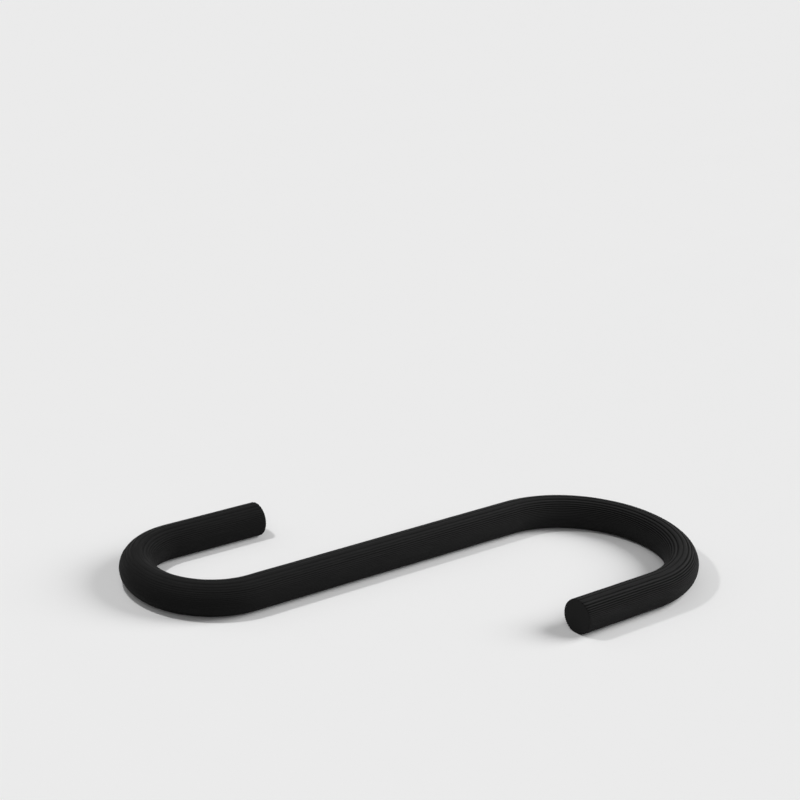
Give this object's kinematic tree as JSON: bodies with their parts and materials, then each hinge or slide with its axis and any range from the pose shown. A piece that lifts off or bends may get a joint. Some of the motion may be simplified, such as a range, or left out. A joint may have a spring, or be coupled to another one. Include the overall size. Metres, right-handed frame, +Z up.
{
  "type": "s hook",
  "caption": "One-piece printed plastic S hook of round bar, with a long straight shank, a small hook at one end and a large hook at the other, opening to opposite sides.",
  "frame": {"origin": "middle of the outer box in plan, on the plane that the hook lies on", "axes": "+X along the straight shank towards the large hook, +Y to the side that the small hook opens on, +Z up from the side that the hook lies on"},
  "size_m": [0.0988, 0.0692, 0.0062],
  "materials": {
    "black_print": "matt black printed plastic with fine layer lines that follow the bar"
  },
  "bodies": {
    "root": {"s_hook": "black_print"}
  },
  "joints": []
}
